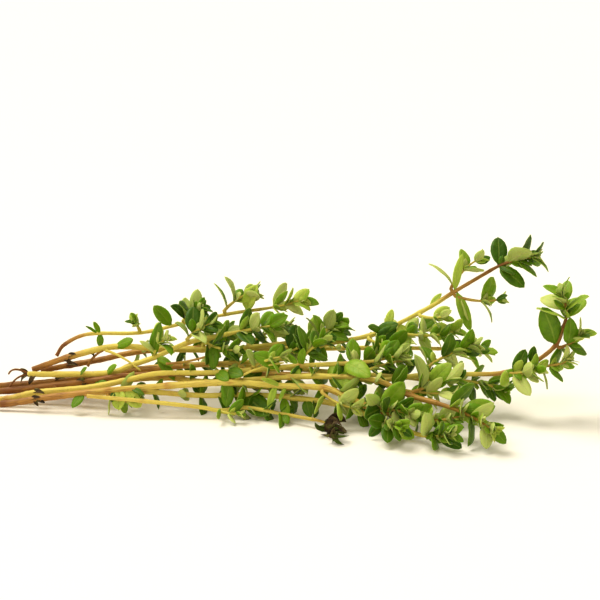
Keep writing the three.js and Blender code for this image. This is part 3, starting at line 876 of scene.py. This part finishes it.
def leaf_colour_group(veins):
    """Colour, height and roughness of a leaf from its age, its side, its veins and low blotches."""
    sockets = {"Skin": "NodeSocketVector", "Place": "NodeSocketVector", "Age": "NodeSocketFloat"}
    sockets["Upper"] = "NodeSocketFloat"
    results = {"Colour": "NodeSocketColor", "Height": "NodeSocketFloat", "Roughness": "NodeSocketFloat"}
    tree, start, end = group("leaf_skin", sockets, results)
    place = start.outputs["Place"]
    age = start.outputs["Age"]
    upper = start.outputs["Upper"]
    vein = node(tree, "ShaderNodeGroup", node_tree=veins)
    tree.links.new(start.outputs["Skin"], vein.inputs["Skin"])
    midrib, side = vein.outputs["Midrib"], vein.outputs["Side"]
    blotch = noise(tree, place, 330.0)
    drift = maths(tree, "ADD", age, maths(tree, "MULTIPLY", maths(tree, "SUBTRACT", blotch, 0.5), 0.5))
    shades = node(tree, "ShaderNodeValToRGB", {0: drift})
    stops = shades.color_ramp.elements
    stops[0].position, stops[0].color = 0.0, colour(0.45, 0.53, 0.07)
    stops[1].position, stops[1].color = 1.0, colour(0.036, 0.094, 0.001)
    middle = stops.new(0.45)
    middle.color = colour(0.16, 0.3, 0.005)
    above = blend(tree, maths(tree, "MULTIPLY", side, 0.2), shades.outputs[0], colour(0.08, 0.15, 0.006))
    above = blend(tree, maths(tree, "MULTIPLY", midrib, 0.28), above, colour(0.34, 0.40, 0.06))
    pale = blend(tree, age, colour(0.64, 0.68, 0.2), colour(0.37, 0.45, 0.1))
    below = blend(tree, maths(tree, "MULTIPLY", blotch, 0.35), pale, colour(0.24, 0.30, 0.05))
    ribs = maths(tree, "MAXIMUM", midrib, maths(tree, "MULTIPLY", side, 0.6))
    below = blend(tree, maths(tree, "MULTIPLY", ribs, 0.5), below, colour(0.55, 0.58, 0.2))
    tree.links.new(blend(tree, upper, below, above), end.inputs["Colour"])
    glands = node(tree, "ShaderNodeTexVoronoi", {"Vector": place, "Scale": 2300.0}).outputs["Distance"]
    pits = maths(tree, "MULTIPLY", ramp(tree, glands, 0.1, 0.35, 0.0, 1.0), 0.25)
    sunk = maths(tree, "MULTIPLY", maths(tree, "ADD", midrib, maths(tree, "MULTIPLY", side, 0.7)), -0.8)
    raised = maths(tree, "MULTIPLY", sunk, -1.2)
    relief = node(tree, "ShaderNodeMix", {0: upper, 2: raised, 3: sunk}).outputs[0]
    height = maths(tree, "ADD", maths(tree, "ADD", relief, pits), maths(tree, "MULTIPLY", blotch, 0.5))
    tree.links.new(height, end.inputs["Height"])
    tree.links.new(ramp(tree, upper, 0.0, 1.0, 0.65, 0.46), end.inputs["Roughness"])
    return tree


def bark_group():
    """Colour and height of a stem from its rust (which at a few stem tips also carries painted shade), its
    greenness, its joints and streaks that run along it.
    """
    sockets = {"Skin": "NodeSocketVector", "Place": "NodeSocketVector", "Rust": "NodeSocketFloat"}
    sockets.update({"Green": "NodeSocketFloat", "Joint": "NodeSocketFloat", "Cut": "NodeSocketFloat"})
    tree, start, end = group("stem_bark", sockets, {"Colour": "NodeSocketColor", "Height": "NodeSocketFloat"})
    place = start.outputs["Place"]
    parts = node(tree, "ShaderNodeSeparateXYZ", {0: start.outputs["Skin"]})
    turn = parts.outputs[1]
    run = maths(tree, "MULTIPLY", parts.outputs[0], 0.09)
    around = {0: run, 1: maths(tree, "COSINE", turn), 2: maths(tree, "SINE", turn)}
    streak = noise(tree, node(tree, "ShaderNodeCombineXYZ", around).outputs[0], 2.4, 5.0)
    cloud = noise(tree, place, 90.0)
    swing = maths(tree, "MULTIPLY", maths(tree, "SUBTRACT", streak, 0.5), 1.7)
    swing = maths(tree, "ADD", swing, maths(tree, "MULTIPLY", maths(tree, "SUBTRACT", cloud, 0.5), 1.1))
    rust = maths(tree, "ADD", start.outputs["Rust"], maths(tree, "MULTIPLY", swing, 0.5))
    rust = maths(tree, "ADD", rust, maths(tree, "MULTIPLY", start.outputs["Joint"], 0.16))
    straw = blend(tree, start.outputs["Green"], colour(0.74, 0.58, 0.11), colour(0.56, 0.52, 0.07))
    shades = node(tree, "ShaderNodeValToRGB", {0: rust})
    stops = shades.color_ramp.elements
    stops[0].position, stops[0].color = 0.15, colour(1.0, 1.0, 1.0)
    stops[1].position, stops[1].color = 1.0, colour(0.3, 0.13, 0.16)
    middle = stops.new(0.5)
    middle.color = colour(0.7, 0.44, 0.5)
    tone = blend(tree, 1.0, straw, shades.outputs[0], "MULTIPLY")
    ribbon = noise(tree, node(tree, "ShaderNodeCombineXYZ", around).outputs[0], 5.5, 4.0)
    dark = maths(tree, "MULTIPLY", ramp(tree, ribbon, 0.5, 0.66), ramp(tree, rust, 0.1, 0.8, 0.25, 0.75))
    tone = blend(tree, dark, tone, colour(0.16, 0.07, 0.03))
    speck = ramp(tree, noise(tree, place, 1500.0, 2.0), 0.64, 0.72, 0.0, 0.5)
    specks = maths(tree, "MULTIPLY", speck, ramp(tree, cloud, 0.4, 0.6))
    tone = blend(tree, specks, tone, colour(0.2, 0.1, 0.04))
    tone = blend(tree, start.outputs["Cut"], tone, colour(0.55, 0.5, 0.26))
    tree.links.new(tone, end.inputs["Colour"])
    fine = noise(tree, place, 2600.0)
    height = maths(tree, "ADD", maths(tree, "MULTIPLY", streak, 1.2), maths(tree, "MULTIPLY", fine, 0.35))
    tree.links.new(height, end.inputs["Height"])
    return tree


def finished_material(name, roughness):
    """A new material with only its Principled shader and the two places that patterns read."""
    material = bpy.data.materials.new(name)
    material.use_nodes = True
    tree = material.node_tree
    shader = tree.nodes["Principled BSDF"]
    shader.inputs["Roughness"].default_value = roughness
    places = node(tree, "ShaderNodeTexCoord")
    return material, tree, shader, places


def bumped(tree, shader, height, distance, strength):
    """Joins a height to the shader's normal."""
    settings = {"Height": height, "Distance": distance, "Strength": strength}
    tree.links.new(node(tree, "ShaderNodeBump", settings).outputs[0], shader.inputs["Normal"])


def leaf_material(skin):
    """Fresh leaf: semi-gloss green above, matte and pale below, a little light let through."""
    material, tree, shader, places = finished_material("thyme_leaf", 0.45)
    inside = node(tree, "ShaderNodeGroup", node_tree=skin)
    tree.links.new(places.outputs["UV"], inside.inputs["Skin"])
    tree.links.new(places.outputs["Object"], inside.inputs["Place"])
    tree.links.new(attribute(tree, "age"), inside.inputs["Age"])
    tree.links.new(attribute(tree, "upper"), inside.inputs["Upper"])
    tree.links.new(inside.outputs["Colour"], shader.inputs["Base Color"])
    tree.links.new(inside.outputs["Roughness"], shader.inputs["Roughness"])
    shader.inputs["Specular IOR Level"].default_value = 0.16
    shader.inputs["Subsurface Weight"].default_value = 0.25
    shader.inputs["Subsurface Radius"].default_value = (0.5, 1.0, 0.2)
    shader.inputs["Subsurface Scale"].default_value = 0.0009
    bumped(tree, shader, inside.outputs["Height"], 0.00012, 0.7)
    return material


def stem_material(bark):
    """Young thyme wood: satin straw to rust, darker at the joints, finely ridged."""
    material, tree, shader, places = finished_material("thyme_stem", 0.5)
    inside = node(tree, "ShaderNodeGroup", node_tree=bark)
    tree.links.new(places.outputs["UV"], inside.inputs["Skin"])
    tree.links.new(places.outputs["Object"], inside.inputs["Place"])
    for socket in ("Rust", "Green", "Joint", "Cut"):
        tree.links.new(attribute(tree, socket.lower()), inside.inputs[socket])
    tree.links.new(inside.outputs["Colour"], shader.inputs["Base Color"])
    shader.inputs["Specular IOR Level"].default_value = 0.15
    shader.inputs["Subsurface Weight"].default_value = 0.1
    shader.inputs["Subsurface Radius"].default_value = (1.0, 0.6, 0.2)
    shader.inputs["Subsurface Scale"].default_value = 0.0006
    bumped(tree, shader, inside.outputs["Height"], 0.00012, 0.6)
    return material


def dried_material():
    """Dead leaf: dark brown with olive and dull green patches, dull and wrinkled."""
    material, tree, shader, places = finished_material("dried_leaf", 0.75)
    patch = noise(tree, places.outputs["Object"], 420.0, 4.0)
    shades = node(tree, "ShaderNodeValToRGB", {0: patch})
    stops = shades.color_ramp.elements
    stops[0].position, stops[0].color = 0.4, colour(0.028, 0.016, 0.006)
    stops[1].position, stops[1].color = 0.64, colour(0.13, 0.13, 0.03)
    stops.new(0.53).color = colour(0.075, 0.045, 0.018)
    drift = maths(tree, "ADD", attribute(tree, "age"), maths(tree, "MULTIPLY", patch, 0.3))
    dead = ramp(tree, drift, 0.45, 0.95)
    tone = blend(tree, dead, colour(0.07, 0.11, 0.012), shades.outputs[0])
    tree.links.new(tone, shader.inputs["Base Color"])
    shader.inputs["Specular IOR Level"].default_value = 0.15
    bumped(tree, shader, noise(tree, places.outputs["Object"], 1300.0, 4.0), 0.0003, 0.9)
    return material


# ---------------------------------------------------------------- the bunch

LEAF = leaf_material(leaf_colour_group(vein_group()))
STEM = stem_material(bark_group())
DRIED = dried_material()


def dress_shoot(sprig, index, order):
    """The stemlet and leaves of one shoot, in place of its CAD solid."""
    shoot = sprig["shoots"][order]
    name = f"{sprig['name']}_shoot_{order + 1}"
    seed = (index + 1) * 1000 + (order + 1) * 100
    bow, _, outward, leaves = settled_shoot(sprig, shoot, name, seed)
    last = len(sprig["route"]) - 1
    # The stemlet takes its stem's rust, including the painted shade raised at a few stem tips.
    stem_rust_and_shade = np.interp(shoot[0] / last, [0, 0.25, 0.5, 0.75, 1], STEM_RUST_AND_SHADE[sprig["name"]])
    foot_radius = SHOOT_RADIUS[0] if outward is not None else sprig["radius"][1]
    start = route_point(sprig["route"], shoot[0])
    rust = (stem_rust_and_shade + 0.1, 0.5 * stem_rust_and_shade + 0.15)
    stemlet_piece(f"{name}_stemlet", start, bow, foot_radius, rust, 0.7, seed, STEM)
    groups = [leaves, axil_leaves(leaves, seed), bud_leaves(bow, shoot[3], seed)]
    if name == WITHERED_SHOOT:
        piece = leaf_piece(f"{name}_leaves", groups, 0.75, seed, DRIED, curl=1.5, width=0.55, spread=1.1)
    else:
        piece = leaf_piece(f"{name}_leaves", groups, SHOOT_AGE[sprig["name"]][order], seed, LEAF)
    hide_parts(name)
    return len(leaves["length"])


def on_stems(rows):
    """Leaves that start inside a stem and reach a given tip, as many as the rows."""
    by_name = {sprig["name"]: sprig for sprig in SPRIGS}
    foot = np.array([route_point(by_name[row[0]]["route"], row[1]) for row in rows])
    reach = np.array([row[2] for row in rows]) - foot
    direction = unit(reach)
    upper = unit(LIGHT - direction * dot(np.broadcast_to(LIGHT, reach.shape), direction))
    return {"foot": foot, "direction": direction, "upper": upper, "length": np.linalg.norm(reach, axis=1)}


def inner_leaves(row, seed):
    """Opposite pairs of leaves along a stretch of a stem, leaning forward, each pair turned a quarter."""
    name, first_place, last_place, pairs = row
    route = {sprig["name"]: sprig["route"] for sprig in SPRIGS}[name]
    number = np.arange(pairs * 2)
    at = first_place + (last_place - first_place) * (number // 2) / (pairs - 1)
    axis = route_slope(route, at)
    first = unit(np.cross(axis, LEAN))
    second = np.cross(axis, first)
    angle = (math.pi * number + math.pi / 2 * (number // 2) + 2 * variation(seed + number // 2))[:, None]
    opening = (0.6 + 0.7 * variation(seed + 40 + number))[:, None]
    outward = first * np.cos(angle) + second * np.sin(angle)
    direction = axis * np.cos(opening) + outward * np.sin(opening)
    upper = (axis * np.sin(opening) - outward * np.cos(opening)) * 0.6 + LIGHT * 0.4
    upper = unit(upper - direction * dot(upper, direction))
    length = 4.5 + 3.5 * variation(seed + 70 + number)
    return {"foot": route_point(route, at), "direction": direction, "upper": upper, "length": length}


def column(rows, place):
    """One entry of every row, as an array."""
    return np.array([row[place] for row in rows])


placed_leaves = 0
for index, sprig in enumerate(SPRIGS):
    stem_piece(sprig, index * 1.7, STEM)
    for order in range(len(sprig["shoots"])):
        placed_leaves += dress_shoot(sprig, index, order)
print("main leaves placed:", placed_leaves)

for order, (foot, bend, tip, radius, rust) in enumerate(THIN_STEMLETS):
    bow = np.array([foot, bend, tip])
    start = bow_point(bow, 0.02)
    stemlet_piece(f"thin_stemlet_{order + 1}", start, bow, radius, (rust, rust), 0.3, 90 + order, STEM)

ages, widths = column(SINGLE_LEAVES, 3), column(SINGLE_LEAVES, 4)
single = [on_stems(SINGLE_LEAVES)]
singles = leaf_piece("bare_stem_leaves", single, ages, 77, LEAF, width=widths, spread=0.15)
hidden = [inner_leaves(row, 500 + 90 * order) for order, row in enumerate(INNER_LEAVES)]
# Age 1.0 gives these leaves the darkest green, which is painted shade for the depths between the stems.
inner = leaf_piece("inner_leaves", hidden, 1.0, 377, LEAF, curl=0.1, width=0.48, spread=0.5)
dry = [on_stems(SCRAPS)]
scraps = leaf_piece("dried_scraps", dry, 1.0, 177, DRIED, curl=0.55, width=0.5, spread=0.1)


# ---------------------------------------------------------------- floor, light and camera


def floor_material():
    """Warm white board with a very faint unevenness."""
    material, tree, shader, places = finished_material("pale_floor", 0.6)
    tone = noise(tree, places.outputs["Object"], 1.5)
    pale = blend(tree, tone, colour(0.94, 0.89, 0.83), colour(0.91, 0.86, 0.8))
    tree.links.new(pale, shader.inputs["Base Color"])
    shader.inputs["Specular IOR Level"].default_value = 0.2
    return material


def add_floor():
    """A wide flat floor at z = 0."""
    bpy.ops.mesh.primitive_plane_add(size=60)
    floor = bpy.context.object
    floor.name = "floor"
    floor.data.materials.append(floor_material())


def add_light(name, direction, width, strength, tint):
    """A broad far-off light that comes from a direction, its width in degrees."""
    lamp = bpy.data.lights.new(name, "SUN")
    lamp.angle = math.radians(width)
    lamp.energy = strength
    lamp.color = tint
    holder = bpy.data.objects.new(name, lamp)
    bpy.context.scene.collection.objects.link(holder)
    holder.location = direction
    holder.rotation_euler = (-mathutils.Vector(direction)).to_track_quat("-Z", "Y").to_euler()


def add_camera():
    """A long lens half a metre off, looking along +Y and a little down."""
    distance = 0.5
    down = math.radians(15)
    target = mathutils.Vector((0.00849, 0.0024, 0.0342))
    back = mathutils.Vector((0, -math.cos(down), math.sin(down)))
    camera = bpy.data.cameras.new("camera")
    camera.lens = 100
    camera.sensor_width = 36
    camera.clip_start = 0.01
    holder = bpy.data.objects.new("camera", camera)
    bpy.context.scene.collection.objects.link(holder)
    holder.location = target + back * distance
    holder.rotation_euler = (-back).to_track_quat("-Z", "Y").to_euler()
    bpy.context.scene.camera = holder


def add_world():
    """Even, warm white surroundings."""
    world = bpy.data.worlds.new("studio")
    world.use_nodes = True
    world.node_tree.nodes["Background"].inputs[0].default_value = colour(1.0, 0.94, 0.73)
    world.node_tree.nodes["Background"].inputs[1].default_value = 0.58
    bpy.context.scene.world = world


add_floor()
add_world()
add_light("key", (-0.38, 0.25, 0.8), 38, 3.1, (1.0, 0.97, 0.86))
add_light("front", (-0.2, -0.8, 0.6), 30, 0.5, (1.0, 0.97, 0.86))
add_camera()
bpy.context.scene.view_settings.view_transform = "Standard"
